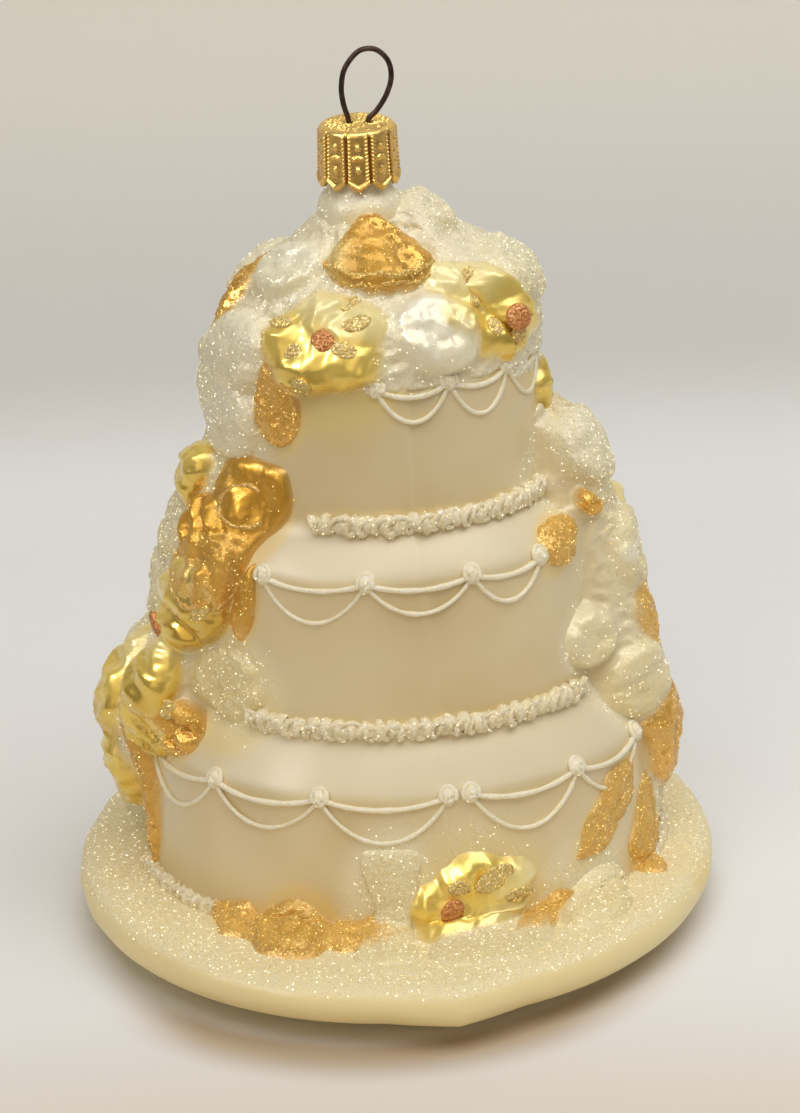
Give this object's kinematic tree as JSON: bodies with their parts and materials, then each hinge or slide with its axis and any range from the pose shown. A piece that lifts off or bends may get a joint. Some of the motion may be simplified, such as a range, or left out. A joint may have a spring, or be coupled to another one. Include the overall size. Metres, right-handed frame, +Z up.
{
  "type": "wedding cake tree ornament",
  "caption": "Blown glass tree ornament shaped as a tiered wedding cake on a round board, with moulded flowers, piped swags, a stamped metal cap and a wire hanging loop.",
  "frame": {"origin": "middle of the flat spot under the board that the ornament stands on", "axes": "+Z up through the tiers to the hanging loop, -Y towards the front with the seam's corner on the board, +X to the right as seen from the front"},
  "size_m": [0.1074, 0.1191, 0.1489],
  "materials": {
    "pearl_glass": "blown glass under satin pearl-ivory lacquer, with yellow, amber and white painted flowers and fine glitter",
    "gold_cap": "stamped thin sheet, bright gold",
    "dark_wire": "dark brown spring wire, satin"
  },
  "bodies": {
    "root": {"glass_body": "pearl_glass", "cap": "gold_cap", "hanger_loop": "dark_wire"}
  },
  "joints": []
}
